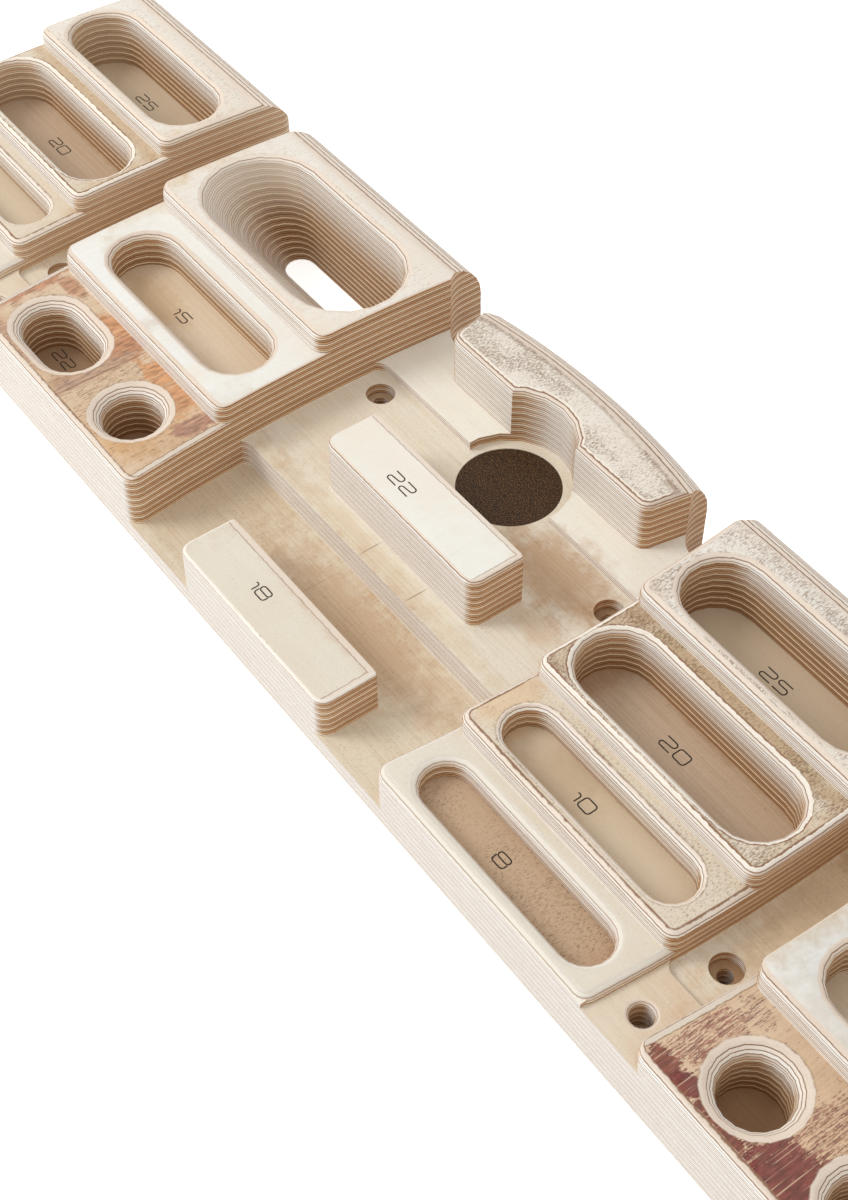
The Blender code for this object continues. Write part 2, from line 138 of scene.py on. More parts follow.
def blot(tree, plan, centre, half, ragged, soft=0.35):
    # 1 inside an ellipse on the plan, 0 outside, with an uneven rim
    away = addNode(tree, "ShaderNodeVectorMath", {0: plan, 1: (*centre, 0)}, operation="SUBTRACT").outputs[0]
    away = stretch(tree, away, (1 / half[0], 1 / half[1], 0))
    away = addNode(tree, "ShaderNodeVectorMath", {0: away}, operation="LENGTH").outputs["Value"]
    return spread(tree, calc(tree, "ADD", away, ragged), 1.0 + soft, 1.0 - soft)


def rimBand(tree, flat, inside, where, look, near=1.0):
    # along an edge: a band in another colour, then a dark line
    band = times(tree, spread(tree, inside, *look["band"]), where, near, look["share"])
    flat = tone(tree, band, flat, look["colour"])
    line = spread(tree, offset(tree, inside, look["band"][0]), *look["line"])
    return tone(tree, times(tree, line, where, look["lineShare"]), flat, look["lineColour"])


# birch plywood, cut through its plies: light and dark plies with thin glue lines between them
plies = {
    "pitch": 2.88,  # mm, one light and one dark ply
    "lightLevel": 20.2,  # mm, middle of a light ply
    "turnShift": 20.5,  # keeps the count of plies above 0, with the middle of a light ply at a half
    "wander": 0.35,
    "fray": 0.34,
    "lightEnd": (1.0, 0.88, 0.68),  # walls that face along X show end grain
    "upperEnd": (0.80, 0.53, 0.31),
    "lowerEnd": (0.66, 0.40, 0.22),
    "glueEnd": (0.20, 0.095, 0.04),
    "lightSide": (0.99, 0.99, 0.97),  # walls that face along Y show long grain
    "upperSide": (0.97, 0.94, 0.89),
    "lowerSide": (0.92, 0.87, 0.79),
    "glueSide": (0.38, 0.26, 0.17),
    "sanded": (0.86, 0.79, 0.69),  # on slopes
    "sandedShare": 0.36,
    "paintedRimLight": (0.93, 0.85, 0.73),  # painted light: ends of the jugs that face right are paler towards their rims
    "paintedRimLightLevels": (16.0, 46.0),
    "paintedRimLightShare": 0.62,
    "farBlockX": -200.0,  # painted light: ends of the far left block, left of this, are paler
    "farBlockShare": 0.22,
    "calm": (0.84, 0.79, 0.69),  # rims of the fourth rows, where no ply line shows
    "calmShare": 0.85,
    "calmFromMiddle": 60.0,  # the bay and its bars lie nearer to the middle
    "contour": (0.25, 0.115, 0.05),  # glue lines run out into ragged contours on slopes
    "contourLevels": (25.9, 26.1),  # fainter below
    "uneven": (0.62, 0.47, 0.35),  # some plies are darker than others
    "fibre": (0.56, 0.42, 0.30),
    "dash": (0.50, 0.36, 0.25),
    "lightDeep": (0.97, 0.80, 0.56),  # painted shade: walls inside the pockets brown towards the floor
    "upperDeep": (0.54, 0.33, 0.175),
    "lowerDeep": (0.45, 0.26, 0.135),
    "glueDeep": (0.15, 0.07, 0.03),
}
# sides of the blocks are long arcs, which reach furthest out at this Y; mm
sideArc = {"radius": 700.0, "y": 7.75}
# pockets of the row blocks and of the jug blocks: middle of the block along X and half length; then middle of each
# pocket along Y, half height, level of its rim, how far down the painted shade browns the wood
rowHollows = {"x": (-260.5, 129.0), "half": 50.4,
              "rows": [(41.9, 17.6, 48.5, 15), (-0.4, 17.3, 40.9, 15), (-34.9, 11.8, 33.3, 13),
                       (-65.0, 11.8, 25.7, 13)]}
jugHollows = {"x": (-134.1, 256.2), "half": 53.9,
              "rows": [(35.3, 25.0, 48.5, 28), (-16.0, 16.0, 39.8, 14), (-60.1, 13.5, 31.4, 13)]}
# land of the third steps and rims of the fourth rows: levels in mm between which they fade in, and out again
thirdStep = (31.0, 31.2, 31.6, 32.0)
fourthRow = (24.55, 24.7, 25.8, 25.9)
# what the cutter laid bare, from the lowest level up: level in mm, colour of the flat wood, dark pores, long grain
levels = [
    (0.0, (0.62, 0.47, 0.33), 0.2, 0.5),
    (8.0, (0.80, 0.72, 0.57), 0.3, 0.6),
    (9.0, (0.42, 0.28, 0.17), 0.2, 0.5),
    (12.0, (0.52, 0.38, 0.25), 0.2, 0.5),
    (17.0, (0.56, 0.40, 0.265), 0.6, 0.3),
    (19.0, (0.84, 0.79, 0.67), 0.25, 0.5),
    (20.6, (0.60, 0.46, 0.33), 0.2, 0.7),
    (21.8, (0.78, 0.68, 0.54), 0.1, 0.4),
    (22.8, (0.66, 0.54, 0.39), 0.1, 0.2),
    (23.8, (0.92, 0.90, 0.81), 0.1, 0.3),
    (24.5, (0.76, 0.63, 0.47), 0.45, 0.4),
    (25.2, (0.78, 0.72, 0.61), 0.12, 0.15),
    (31.0, (0.72, 0.56, 0.40), 0.45, 0.5),
    (32.6, (0.76, 0.67, 0.54), 0.6, 0.3),
    (39.0, (0.86, 0.85, 0.80), 0.03, 0.15),
    (40.3, (0.75, 0.66, 0.53), 1.0, 0.5),
    (42.0, (0.88, 0.88, 0.83), 0.0, 0.12),
    (45.0, (0.85, 0.79, 0.70), 1.2, 0.4),
    (47.2, (0.85, 0.80, 0.72), 1.0, 0.3),
]
ladder = 50.0  # mm, a level that is above the board
# along X, mm: how strongly pores and dashes show; the row blocks more than the jug blocks
poreReach = [(-320, 0.4), (-200, 0.25), (-75, 0.9), (76, 1.0), (190, 0.2)]
halfLength = 320.0  # mm, a little past the ends
flatWood = {
    "acrossLevels": (30.5, 31.0),  # grain runs along X below, across above
    "cloud": (0.90, 0.80, 0.68),
    "pore": (0.50, 0.42, 0.37),
    "speck": (0.66, 0.56, 0.46),
    "jointLine": (0.24, 0.13, 0.08),
    "smearShare": 0.94,
}
# soft tints and painted shade on the plan: centre and half size in mm, colour to multiply by
tintsAndShade = [
    ((130, 17.5), (56, 4.2), (0.76, 0.66, 0.54)),  # behind the 20 row
    ((-260, 17.5), (56, 4.2), (0.84, 0.74, 0.62)),
    ((84, 4), (6, 22), (0.84, 0.74, 0.66)),
    ((42, 19), (26, 13), (0.71, 0.54, 0.42)),  # darker wood beside the disc
    ((55, 0), (10, 6), (0.88, 0.78, 0.70)),
    ((82, -34), (7, 12), (1.0, 0.88, 0.74)),  # peach end of the 10 row
    ((0, -26), (70, 4), (0.92, 0.85, 0.77)),
    ((10, -44), (50, 13), (0.81, 0.67, 0.57)),  # painted shadow behind the low bar
    ((-62, -52), (22, 30), (0.88, 0.82, 0.76)),
    ((191, 10), (14, 52), (0.88, 0.75, 0.60)),  # floors of the gaps
    ((-200, 10), (14, 52), (0.88, 0.75, 0.60)),
    ((-130.6, -60), (4.2, 24), (0.76, 0.64, 0.56)),  # left of the seam
    ((-160, -76), (30, 5), (0.92, 0.86, 0.78)),
    ((-100, -68), (16, 9), (0.92, 0.84, 0.72)),
    ((-158, -20), (20, 9), (0.86, 0.77, 0.66)),  # inside the pockets, away from the light
    ((110, -36), (14, 10), (0.88, 0.84, 0.80)),
    ((250, -58), (60, 22), (1.0, 0.94, 0.88)),
    ((256, -15), (60, 27), (0.83, 0.82, 0.82)),
    ((-96, -62), (15, 22), (1.0, 0.88, 0.74)),
    ((-30, 5), (60, 26), (1.0, 0.95, 0.90)),
]
# glue that the cutter only just reached, on the third steps of the jug blocks: centre, half size, colour, cover,
# how broken it is
smears = [
    ((-132.0, -60.0), (56.0, 21.0), (0.42, 0.27, 0.17), 0.42, 1.0),
    ((-186.5, -58), (6.0, 17.0), (0.48, 0.24, 0.14), 0.90, 0.60),
    ((-176.0, -43.5), (9.0, 3.5), (0.46, 0.24, 0.14), 0.70, 0.40),
    ((-141.0, -44.0), (15.0, 6.0), (0.58, 0.29, 0.14), 0.95, 0.50),
    ((-134.0, -47.0), (7.0, 9.0), (0.46, 0.23, 0.13), 0.85, 0.50),
    ((-129.5, -62), (2.6, 22.0), (0.46, 0.30, 0.21), 0.75, 0.50),
    ((-107.0, -43.0), (17.0, 5.0), (0.60, 0.31, 0.15), 0.95, 0.50),
    ((-98.0, -46.0), (9.0, 5.0), (0.56, 0.29, 0.15), 0.80, 0.50),
    ((-84.0, -46.0), (4.5, 10.0), (0.42, 0.23, 0.16), 0.80, 0.50),
    ((-165.0, -76.5), (22.0, 3.2), (0.48, 0.30, 0.21), 0.65, 0.45),
    ((205.5, -75.6), (6.5, 3.4), (0.20, 0.055, 0.038), 1.00, 1.0),
    ((214.2, -75.2), (5.0, 4.4), (0.18, 0.042, 0.036), 1.10, 1.0),
    ((229.5, -76.8), (14.0, 2.2), (0.20, 0.055, 0.038), 1.00, 1.0),
    ((252.0, -70.5), (14.5, 10.0), (0.18, 0.042, 0.036), 1.05, 1.0),
    ((268.0, -76.0), (14.0, 3.2), (0.20, 0.06, 0.045), 0.85, 1.0),
    ((298.0, -70.0), (10.0, 8.0), (0.20, 0.06, 0.045), 0.75, 1.0),
    ((206.5, -60.0), (7.0, 16.0), (0.30, 0.13, 0.095), 0.50, 1.0),
    ((209.0, -45.0), (7.0, 6.0), (0.30, 0.17, 0.13), 0.42, 1.0),
    ((247.0, -52.0), (9.0, 15.0), (0.30, 0.14, 0.10), 0.48, 1.0),
    ((285.0, -45.0), (20.0, 6.0), (0.32, 0.17, 0.13), 0.42, 1.0),
]
# joints between two strips of one veneer, as thin lines: middle, half size, darkness
veneerJoints = [
    ((-127.1, -59.5), (0.28, 20.5), 0.85),
    ((-6.6, -24.5), (0.26, 4.6), 0.6),
    ((19.9, -24.5), (0.26, 4.6), 0.6),
    ((-13.0, -44), (0.20, 8.0), 0.35),
    ((120.5, -48.2), (0.22, 1.6), 0.8),
    ((146.5, 62), (0.20, 12.0), 0.3),
]
# the burnt disc in the middle bay
burntDisc = {
    "centre": (-1.2, 31.85),
    "radius": 19.1,
    "rim": 0.006,
    "below": 20.15,
    "colour": (0.015, 0.007, 0.002),
    "fleck": (0.25, 0.115, 0.035),
}
# far edge and right end of each bar, and how high it is: a pinkish band with a dark line inside it
barBands = [(3.4, 43.2, 42.3), (-57.4, 43.6, 26.3)]
barHalf = 50.0  # mm, a little longer than half a bar
barLook = {
    "band": (2.3, 2.0),
    "share": 0.8,
    "colour": (0.78, 0.66, 0.55),
    "line": (0.32, 0.12),
    "lineShare": 0.6,
    "lineColour": (0.34, 0.21, 0.13),
}
# sides of the third steps of the jug blocks: X of the side and which way is inwards, for a paler band with a dark
# line inside it
sideBands = [(-78.6, -1), (-189.5, 1), (201.1, 1), (311.4, -1)]
sideLook = {
    "band": (2.5, 2.2),
    "near": (9.0, 8.0),
    "share": 0.85,
    "colour": (0.72, 0.64, 0.54),
    "line": (0.3, 0.1),
    "lineShare": 0.7,
    "lineColour": (0.26, 0.15, 0.09),
}


def plyWood(name, values):
    material = bpy.data.materials.new(name)
    material.use_nodes = True
    tree = material.node_tree
    shader = tree.nodes["Principled BSDF"]
    shader.inputs["Roughness"].default_value = values["roughness"]
    shader.inputs["Specular IOR Level"].default_value = 0.3
    place = addNode(tree, "ShaderNodeTexCoord").outputs["Object"]
    place = stretch(tree, place, (1000, 1000, 1000))
    split = addNode(tree, "ShaderNodeSeparateXYZ", {0: place})
    x, y, z = split.outputs
    plan = stretch(tree, place, (1, 1, 0))
    facing = addNode(tree, "ShaderNodeSeparateXYZ", {0: addNode(tree, "ShaderNodeNewGeometry").outputs["Normal"]})
    alongX = calc(tree, "ABSOLUTE", facing.outputs[0])
    up = facing.outputs[2]

    # plies: the level wanders a little, and more finely along the cut
    wander = calc(tree, "SUBTRACT", grainNoise(tree, place, (0.03, 0.03, 0.12)), 0.5)
    fray = calc(tree, "SUBTRACT", grainNoise(tree, place, (0.5, 0.5, 0.5), 3), 0.5)
    level = calc(tree, "MULTIPLY_ADD", wander, plies["wander"], z)
    level = calc(tree, "MULTIPLY_ADD", fray, plies["fray"], level)
    turn = calc(tree, "DIVIDE", calc(tree, "SUBTRACT", level, plies["lightLevel"]), plies["pitch"])
    turn = calc(tree, "ADD", turn, plies["turnShift"])
    share = calc(tree, "FRACT", turn)
    number = calc(tree, "FLOOR", calc(tree, "ADD", turn, turn))
    each = addNode(tree, "ShaderNodeTexWhiteNoise", {"W": number}, noise_dimensions="1D").outputs[0]
    kinds = []
    for kind in ("End", "Side", "Deep"):
        light, upper, lower, glue = (plies[part + kind] for part in ("light", "upper", "lower", "glue"))
        kinds.append(ramp(tree, share, [(0.0, glue), (0.04, glue), (0.07, lower), (0.28, lower), (0.31, glue),
                                        (0.37, glue), (0.40, light), (0.61, light), (0.635, glue), (0.69, glue),
                                        (0.715, upper), (0.93, upper), (0.955, glue), (1.0, glue)]))
    slope = spread(tree, up, 0.15, 0.60)
    # the sides of the blocks bow away from the middle of the board: X is measured from their long arcs
    arc = calc(tree, "POWER", calc(tree, "SUBTRACT", y, sideArc["y"]), 2.0)
    arc = calc(tree, "SQRT", calc(tree, "SUBTRACT", sideArc["radius"] ** 2, arc))
    arc = calc(tree, "SUBTRACT", sideArc["radius"], arc)
    straight = calc(tree, "MULTIPLY_ADD", calc(tree, "SIGN", x), arc, x)
    # painted shade: inside the pockets the wood browns towards the floor
    paintedPocketShade = 0.0
    for hollows in (rowHollows, jugHollows):
        offBlock = [offset(tree, straight, middle) for middle in hollows["x"]]
        inBlock = calc(tree, "LESS_THAN", calc(tree, "MINIMUM", *offBlock), hollows["half"])
        for middle, half, rim, down in hollows["rows"]:
            inside = times(tree, within(tree, y, middle, half), inBlock)
            paintedPocketShade = calc(tree, "MULTIPLY_ADD", inside, spread(tree, z, rim - 2.0, rim - down), paintedPocketShade)
    paintedPocketShade = times(tree, paintedPocketShade, spread(tree, slope, 0.0, 1.0, 1.0, 0.25))
    # the jugs are the first pockets of the jug blocks, which inBlock still stands for
    jugMiddle, jugHalf = jugHollows["rows"][0][:2]
    mouth = times(tree, within(tree, y, jugMiddle, jugHalf), inBlock, spread(tree, facing.outputs[0], 0.1, 0.6))
    # painted light: the jug ends that face right turn paler towards the rim, darker down in the jug
    paintedRimLight = times(tree, mouth, spread(tree, z, *plies["paintedRimLightLevels"], 0.0, plies["paintedRimLightShare"]))
    endShare = times(tree, spread(tree, alongX, 0.15, 0.75), spread(tree, slope, 0.0, 1.0, 1.0, 0.5))
    endShare = calc(tree, "MAXIMUM", endShare, times(tree, spread(tree, up, 0.5, 0.9), 0.45))
    edge = tone(tree, endShare, kinds[1], kinds[0])
    edge = tone(tree, paintedPocketShade, edge, kinds[2])
    darker = times(tree, each, calc(tree, "MULTIPLY_ADD", endShare, 0.45, 0.10))
    edge = tone(tree, darker, edge, plies["uneven"], "MULTIPLY")
    fibres = grainNoise(tree, place, (0.12, 0.12, 5.0), 3)
    edge = tone(tree, spread(tree, fibres, 0.42, 0.75, 0.0, 0.30), edge, plies["fibre"], "MULTIPLY")
    dashes = grainNoise(tree, place, (1.5, 1.5, 2.6), 3, 0.65)
    dashed = spread(tree, dashes, 0.50, 0.68, 0.0, 0.42)
    dashed = times(tree, dashed, calc(tree, "MULTIPLY_ADD", endShare, 0.7, 0.3))
    edge = tone(tree, dashed, edge, plies["dash"], "MULTIPLY")
    edge = tone(tree, times(tree, slope, plies["sandedShare"]), edge, plies["sanded"])
    edge = tone(tree, paintedRimLight, edge, plies["paintedRimLight"])
    # painted light on the end walls of the far left block
    farBlock = calc(tree, "LESS_THAN", straight, plies["farBlockX"])
    edge = tone(tree, times(tree, farBlock, endShare, plies["farBlockShare"]), edge, plies["lightEnd"])
    outOfBay = calc(tree, "GREATER_THAN", calc(tree, "ABSOLUTE", x), plies["calmFromMiddle"])
    fourth = times(tree, between(tree, z, fourthRow), outOfBay)
    edge = tone(tree, times(tree, fourth, slope, plies["calmShare"]), edge, plies["calm"])
    away = offset(tree, share, 0.5)
    runOut = calc(tree, "MAXIMUM", spread(tree, away, 0.455, 0.48),
                  spread(tree, offset(tree, away, 0.15), 0.045, 0.02))
    contour = times(tree, runOut, slope, spread(tree, z, *plies["contourLevels"], 0.1, 0.9))
    edge = tone(tree, contour, edge, plies["contour"])

    # flat wood: colour by level, grain along X in the lower plies and across in the upper ones
    height = calc(tree, "DIVIDE", z, ladder)
    flat = ramp(tree, height, [(a / ladder, c) for a, c, d, e in levels], "CONSTANT")
    pores = ramp(tree, height, [(a / ladder, (d, d, d)) for a, c, d, e in levels], "CONSTANT")
    streaky = ramp(tree, height, [(a / ladder, (e, e, e)) for a, c, d, e in levels], "CONSTANT")
    reach = calc(tree, "DIVIDE", calc(tree, "ADD", x, halfLength), 2 * halfLength)
    stops = [((a + halfLength) / (2 * halfLength), (b, b, b)) for a, b in poreReach]
    pores = times(tree, pores, ramp(tree, reach, stops, "CONSTANT"))
    along = grainNoise(tree, place, (0.025, 1.3, 1.0), 4, 0.6)
    across = grainNoise(tree, place, (1.3, 0.04, 1.0), 4, 0.6)
    high = spread(tree, z, *flatWood["acrossLevels"])
    grain = addNode(tree, "ShaderNodeMix", {0: high, 2: along, 3: across}, data_type="FLOAT").outputs[0]
    grained = times(tree, spread(tree, grain, 0.38, 0.72, 0.0, values["grain"]), streaky)
    flat = tone(tree, grained, flat, values["grainColour"], "MULTIPLY")
    cloud = grainNoise(tree, place, (0.015, 0.03, 0.05), 3)
    flat = tone(tree, spread(tree, cloud, 0.35, 0.7, 0.0, 0.30), flat, flatWood["cloud"], "MULTIPLY")
    ragged = calc(tree, "MULTIPLY_ADD", grainNoise(tree, place, (0.16, 0.16, 0.0), 4, 0.65), 1.6, -0.8)
    # tints of the wood, and painted shade such as the shadow behind the low bar and inside the pockets
    for centre, half, colour in tintsAndShade:
        flat = tone(tree, blot(tree, plan, centre, half, ragged, 0.55), flat, colour, "MULTIPLY")

    # dark pores: short dashes across the board, thicker in patches
    streaks = grainNoise(tree, place, (2.6, 0.75, 0.3), 3, 0.65)
    patch = grainNoise(tree, place, (0.05, 0.07, 0.2), 3)
    bare = times(tree, pores, spread(tree, patch, 0.30, 0.62, 0.35, 1.0))
    inPore = spread(tree, calc(tree, "MULTIPLY_ADD", bare, 0.15, streaks), 0.59, 0.72)
    inPore = times(tree, inPore, calc(tree, "POWER", bare, 0.5))
    flat = tone(tree, inPore, flat, flatWood["pore"], "MULTIPLY")
    specks = grainNoise(tree, place, (3.0, 3.0, 3.0), 2)
    flat = tone(tree, spread(tree, specks, 0.50, 0.8, 0.0, 0.32), flat, flatWood["speck"], "MULTIPLY")

    # glue smears, broken up into streaks and scratched through along Y
    third = between(tree, z, thirdStep)
    hatch = grainNoise(tree, place, (1.6, 0.16, 0.0), 4, 0.75)
    chips = grainNoise(tree, place, (3.4, 0.7, 0.0), 2, 0.6)
    broken = calc(tree, "ADD", times(tree, hatch, 2.4), calc(tree, "MULTIPLY_ADD", chips, 1.2, -1.8))
    scratch = spread(tree, grainNoise(tree, place, (1.3, 0.03, 0.0), 2, 0.5), 0.58, 0.64, 1.0, 0.30)
    mottle = spread(tree, grainNoise(tree, place, (0.8, 0.2, 0.0), 3), 0.35, 0.65, 0.72, 1.25)
    for centre, half, colour, cover, ruin in smears:
        mask = times(tree, blot(tree, plan, centre, half, ragged, 0.3 + 0.2 * ruin), cover)
        mask = calc(tree, "MULTIPLY_ADD", broken, ruin, mask)
        mask = spread(tree, mask, 0.09 + 0.27 * ruin, 0.91 - 0.35 * ruin)
        dull = tone(tree, 1.0, colour, mottle, "MULTIPLY")
        flat = tone(tree, times(tree, mask, scratch, third, flatWood["smearShare"]), flat, dull)
    for centre, half, dark in veneerJoints:
        line = blot(tree, plan, centre, half, times(tree, ragged, 0.3), 0.45)
        flat = tone(tree, times(tree, line, dark), flat, flatWood["jointLine"])
    for side, inwards in sideBands:
        inside = times(tree, calc(tree, "SUBTRACT", straight, side), inwards)
        inside = calc(tree, "MULTIPLY_ADD", fray, 1.2, inside)
        near = spread(tree, calc(tree, "ABSOLUTE", inside), *sideLook["near"])
        flat = rimBand(tree, flat, inside, third, sideLook, near)
    for farEdge, rightEnd, top in barBands:
        onBar = times(tree, within(tree, z, top, 0.3), calc(tree, "LESS_THAN", calc(tree, "ABSOLUTE", x), barHalf))
        inside = calc(tree, "MINIMUM", calc(tree, "SUBTRACT", farEdge, y), calc(tree, "SUBTRACT", rightEnd, x))
        inside = calc(tree, "ADD", fray, inside)
        flat = rimBand(tree, flat, inside, onBar, barLook)
    facesUp = spread(tree, up, 0.98, 0.9995)
    colour = tone(tree, facesUp, edge, flat)

    # the burnt disc
    inDisc = blot(tree, plan, burntDisc["centre"], (burntDisc["radius"],) * 2, 0.0, burntDisc["rim"])
    inDisc = times(tree, inDisc, calc(tree, "LESS_THAN", z, burntDisc["below"]))
    flecks = grainNoise(tree, place, (2.6, 2.0, 1.0), 3, 0.8)
    burnt = tone(tree, spread(tree, flecks, 0.50, 0.64), burntDisc["colour"], burntDisc["fleck"])
    colour = tone(tree, inDisc, colour, burnt)
    tree.links.new(colour, shader.inputs["Base Color"])

    # raised fibres and grain, sunk glue lines and pores
    relief = calc(tree, "ADD", times(tree, fibres, 0.5), times(tree, grain, 0.5))
    relief = calc(tree, "SUBTRACT", relief, times(tree, runOut, 0.3))
    relief = calc(tree, "SUBTRACT", relief, times(tree, inPore, 0.3))
    bump = addNode(tree, "ShaderNodeBump", {"Strength": 0.30, "Distance": 0.00025, "Height": relief})
    tree.links.new(bump.outputs[0], shader.inputs["Normal"])
    return material


# the glued pieces: each is the milled solid, welded and evenly shaded, with the glue gap closed
board = {
    "panelJoints": (0.0134, 0.0314),
    "glueGap": 0.0003,
    "gapReach": 2e-5,
    "weld": 2e-6,
    "smoothAngle": 33,
    "flatAngle": 0.3,
}
birch = {"roughness": 0.62, "grain": 0.55, "grainColour": (0.72, 0.60, 0.48)}
pieces = [  # name, CAD node that it replaces, slot
    ("rearPanel", "back_sheet", "back_ply"),
    ("middlePanel", "core_sheet", "core_ply"),
    ("lowBar", "edge_bar_low", "face_ply"),
    ("highBar", "edge_bar_high", "face_ply"),
    ("farLeftBlock", "block_a_face", "face_ply"),
    ("leftJugBlock", "block_b_face", "face_ply"),
    ("rightBlock", "block_c_face", "face_ply"),
    ("farRightJugBlock", "block_d_face", "face_ply"),
    ("slopingEdge", "sloper_face", "face_ply"),
]
plain = plyWood("birchPly", birch)


def evenNormals(bm):
    # a corner's direction is the mean of the flat faces around it, each weighed by its whole area, up to a sharp edge
    flatLimit = math.radians(board["flatAngle"])
    sharpLimit = math.radians(board["smoothAngle"])
    angles = {edge: edge.calc_face_angle(math.pi) for edge in bm.edges}
    faceOf = {}
    areas = []
    for start in bm.faces:
        if start in faceOf:
            continue
        faceOf[start] = len(areas)
        area, todo = 0.0, [start]
        while todo:
            face = todo.pop()
            area += face.calc_area()
            for edge in face.edges:
                if angles[edge] < flatLimit:
                    for other in edge.link_faces:
                        if other not in faceOf:
                            faceOf[other] = len(areas)
                            todo.append(other)
        areas.append(area)
    normals = {}
    for vert in bm.verts:
        left = set(vert.link_faces)
        while left:
            fan, todo = [], [left.pop()]
            while todo:
                face = todo.pop()
                fan.append(face)
                for edge in face.edges:
                    if vert in edge.verts and angles[edge] < sharpLimit:
                        for other in edge.link_faces:
                            if other in left:
                                left.remove(other)
                                todo.append(other)
            seen = {faceOf[face]: face.normal for face in fan}
            total = Vector((0, 0, 0))
            for index, normal in seen.items():
                total += normal * areas[index]
            for face in fan:
                normals[face.index, vert.index] = total.normalized()
    return [normals[face.index, loop.vert.index] for face in bm.faces for loop in face.loops]


def gluedPiece(name, node, material):
    mesh = nodes[node].data.copy()
    mesh.name = name
    bm = bmesh.new()
    bm.from_mesh(mesh)
    bmesh.ops.remove_doubles(bm, verts=bm.verts, dist=board["weld"])
    for vert in bm.verts:
        for joint in board["panelJoints"]:
            if abs(vert.co.z - joint - board["glueGap"]) < board["gapReach"]:
                vert.co.z = joint
    bm.normal_update()
    bm.verts.index_update()
    bm.faces.index_update()
    corners = evenNormals(bm)
    bm.to_mesh(mesh)
    bm.free()
    mesh.materials.clear()
    mesh.materials.append(material)
    mesh.shade_smooth()
    mesh.set_sharp_from_angle(angle=math.radians(board["smoothAngle"]))
    mesh.normals_split_custom_set(corners)
    piece = bpy.data.objects.new(name, mesh)
    bpy.context.collection.objects.link(piece)
    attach(piece, "root")
    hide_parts(node)
    return piece


for name, node, slot in pieces:
    piece = gluedPiece(name, node, plain)
print("glued pieces done")


# burnt numbers: the depth of each pocket and bar, as strokes that Geometry Nodes rounds and thickens
numbers = {
    "height": 4.5,  # mm
    "width": 5.2,
    "gap": 1.3,
    "line": 0.48,
    "thick": 0.05,
    "lift": 0.6,  # of the thickness, from the wood to the middle of the line
    "slimWidth": 0.32,  # of the width, for a 1
    "cornerRadius": 1.1,
    "cornerPoints": 4,
    "colour": (0.012, 0.007, 0.005),
    "ash": (0.09, 0.055, 0.035),
    "roughness": 0.8,
}
strokes = {  # on a unit square; a closed stroke ends where it starts
    "0": [[(0, 0), (1, 0), (1, 1), (0, 1), (0, 0)]],
    "1": [[(0, 0.72), (numbers["slimWidth"], 1), (numbers["slimWidth"], 0)]],
    "2": [[(0, 1), (1, 1), (1, 0.5), (0, 0.4), (0, 0), (1, 0)]],
    "5": [[(1, 1), (0, 1), (0, 0.55), (1, 0.55), (1, 0), (0, 0)]],
    "8": [[(0, 0.52), (0, 1), (1, 1), (1, 0.52), (0, 0.52)], [(0, 0.52), (0, 0), (1, 0), (1, 0.52)]],
}
labels = [  # number, start of its lower line, level of the wood, mm
    ("25", (115.5, 43.0), 23.5),
    ("20", (115.8, 0.1), 20.9),
    ("10", (117.0, -36.8), 23.3),
    ("8", (117.0, -67.7), 17.7),
    ("15", (-147.0, -17.4), 24.8),
    ("22", (-170.2, -59.2), 9.4),
    ("18", (-12.5, -70.3), 26.3),
    ("22", (-13.6, -12.2), 42.3),
    ("25", (-274.8, 43.5), 23.5),
    ("20", (-273.7, 0.1), 20.9),
    ("10", (-272.5, -36.8), 23.3),
    ("8", (-272.5, -67.7), 17.7),
    ("15", (243.3, -17.4), 24.8),
    ("22", (271.0, -59.2), 9.4),
]


def strokeTree(material):
    tree = bpy.data.node_groups.new("burntStrokes", "GeometryNodeTree")
    tree.interface.new_socket("Geometry", in_out="INPUT", socket_type="NodeSocketGeometry")
    for label in ("Line", "Thick", "Corner Radius"):
        tree.interface.new_socket(label, in_out="INPUT", socket_type="NodeSocketFloat")
    tree.interface.new_socket("Geometry", in_out="OUTPUT", socket_type="NodeSocketGeometry")
    start = tree.nodes.new("NodeGroupInput")
    curve = addNode(tree, "GeometryNodeMeshToCurve", {"Mesh": start.outputs[0]})
    rounded = addNode(tree, "GeometryNodeFilletCurve",
                      {"Curve": curve.outputs[0], "Count": numbers["cornerPoints"],
                       "Radius": start.outputs["Corner Radius"], "Limit Radius": True}, mode="POLY")
    level = addNode(tree, "GeometryNodeSetCurveNormal", {"Curve": rounded.outputs[0]}, mode="Z_UP")
    profile = addNode(tree, "GeometryNodeCurvePrimitiveQuadrilateral",
                      {"Width": start.outputs["Line"], "Height": start.outputs["Thick"]})
    solid = addNode(tree, "GeometryNodeCurveToMesh", {"Curve": level.outputs[0], "Profile Curve": profile.outputs[0],
                                                      "Fill Caps": True})
    real = addNode(tree, "GeometryNodeRealizeInstances", {0: solid.outputs[0]})
    dressed = addNode(tree, "GeometryNodeSetMaterial", {"Geometry": real.outputs[0], "Material": material})
    finish = tree.nodes.new("NodeGroupOutput")
    tree.links.new(dressed.outputs[0], finish.inputs[0])
    return tree


def plainMesh(piece, name):
    bpy.context.view_layer.update()
    made = bpy.data.meshes.new_from_object(piece.evaluated_get(bpy.context.evaluated_depsgraph_get()))
    made.name = name
    piece.modifiers.clear()
    piece.data = made


burnt = bpy.data.materials.new("burntLine")
burnt.use_nodes = True
tree = burnt.node_tree
shader = tree.nodes["Principled BSDF"]
shader.inputs["Roughness"].default_value = numbers["roughness"]
place = stretch(tree, addNode(tree, "ShaderNodeTexCoord").outputs["Object"], (1000, 1000, 1000))
uneven = spread(tree, grainNoise(tree, place, (1.8, 1.8, 1.8), 2), 0.35, 0.75)
tree.links.new(tone(tree, uneven, numbers["colour"], numbers["ash"]), shader.inputs["Base Color"])

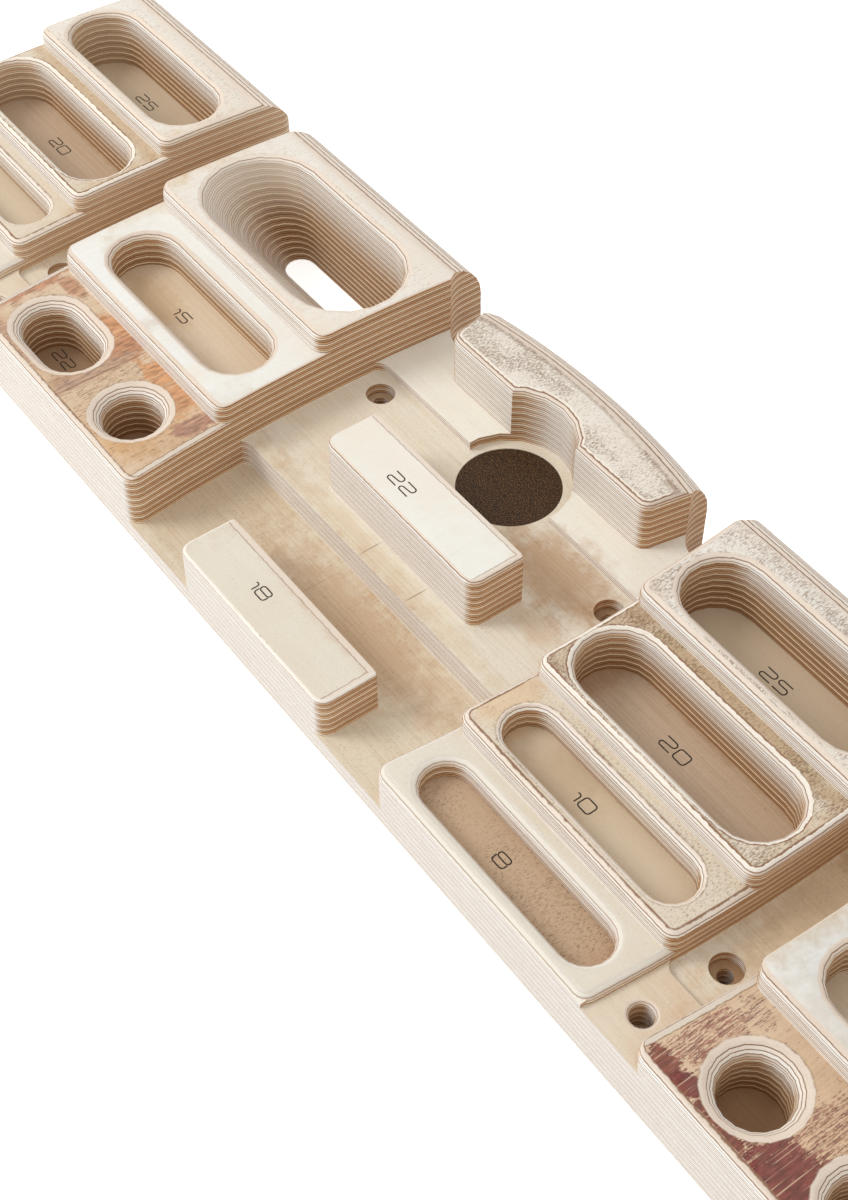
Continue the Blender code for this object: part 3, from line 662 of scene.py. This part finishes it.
points, lines = [], []
for text, (startX, startY), level in labels:
    for figure in text:
        for stroke in strokes[figure]:
            closed = stroke[0] == stroke[-1]
            used = stroke[:-1] if closed else stroke
            first = len(points)
            for u, v in used:
                points.append(((startX + u * numbers["width"]) / 1000, (startY + v * numbers["height"]) / 1000,
                               (level + numbers["thick"] * numbers["lift"]) / 1000))
            lines += [(first + i, first + i + 1) for i in range(len(used) - 1)]
            if closed:
                lines.append((len(points) - 1, first))
        startX += numbers["width"] * (numbers["slimWidth"] if figure == "1" else 1.0) + numbers["gap"]
mesh = bpy.data.meshes.new("burntNumbers")
mesh.from_pydata(points, lines, [])
figures = bpy.data.objects.new("burntNumbers", mesh)
bpy.context.collection.objects.link(figures)
modifier = figures.modifiers.new("strokes", "NODES")
modifier.node_group = strokeTree(burnt)
sizes = {"Line": numbers["line"], "Thick": numbers["thick"], "Corner Radius": numbers["cornerRadius"]}
for item in modifier.node_group.interface.items_tree:
    if item.name in sizes:
        modifier[item.identifier] = sizes[item.name] / 1000
plainMesh(figures, "burntNumbers")
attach(figures, "root")
print("burnt numbers done")


def whereSeen(tree):
    # 1 where the camera looks, straight or by way of a gloss or glass
    ray = addNode(tree, "ShaderNodeLightPath").outputs
    mirrored = calc(tree, "MAXIMUM", ray["Is Glossy Ray"], ray["Is Transmission Ray"])
    return calc(tree, "MAXIMUM", ray["Is Camera Ray"], mirrored)


# floor, pale, with a soft shadow
floorValues = {"size": 3.0, "colour": (0.90, 0.90, 0.90), "glow": 0.66}
bm = bmesh.new()
bmesh.ops.create_grid(bm, x_segments=2, y_segments=2, size=floorValues["size"])
mesh = bpy.data.meshes.new("floor")
bm.to_mesh(mesh)
bm.free()
floor = bpy.data.objects.new("floor", mesh)
bpy.context.collection.objects.link(floor)
pale = bpy.data.materials.new("paleFloor")
pale.use_nodes = True
tree = pale.node_tree
tree.nodes.clear()
matte = addNode(tree, "ShaderNodeBsdfDiffuse", {"Color": (*floorValues["colour"], 1)})
glow = addNode(tree, "ShaderNodeEmission", {"Strength": floorValues["glow"]})
both = addNode(tree, "ShaderNodeAddShader", {0: matte.outputs[0], 1: glow.outputs[0]})
seen = addNode(tree, "ShaderNodeMixShader", {0: whereSeen(tree), 1: matte.outputs[0], 2: both.outputs[0]})
addNode(tree, "ShaderNodeOutputMaterial", {0: seen.outputs[0]})
floor.data.materials.append(pale)

# plain soft light, stronger from the lower left
lamps = {
    "world": 0.78,
    "key": {"place": (-1.1, -1.3, 1.5), "size": 0.9, "power": 21},
}
world = bpy.data.worlds.new("studio")
bpy.context.scene.world = world
world.use_nodes = True
tree = world.node_tree
tree.nodes.clear()
soft = addNode(tree, "ShaderNodeBackground", {0: (1, 1, 1, 1), 1: lamps["world"]})
white = addNode(tree, "ShaderNodeBackground", {0: (1, 1, 1, 1), 1: 1.0})
seen = addNode(tree, "ShaderNodeMixShader", {0: whereSeen(tree), 1: soft.outputs[0], 2: white.outputs[0]})
addNode(tree, "ShaderNodeOutputWorld", {0: seen.outputs[0]})
key = bpy.data.lights.new("keyLamp", "AREA")
key.shape = "DISK"
key.size = lamps["key"]["size"]
key.energy = lamps["key"]["power"]
lamp = bpy.data.objects.new("keyLamp", key)
lamp.location = lamps["key"]["place"]
lamp.rotation_mode = "QUATERNION"
lamp.rotation_quaternion = (-lamp.location).to_track_quat("-Z", "Y")
bpy.context.collection.objects.link(lamp)
print("floor and light done")
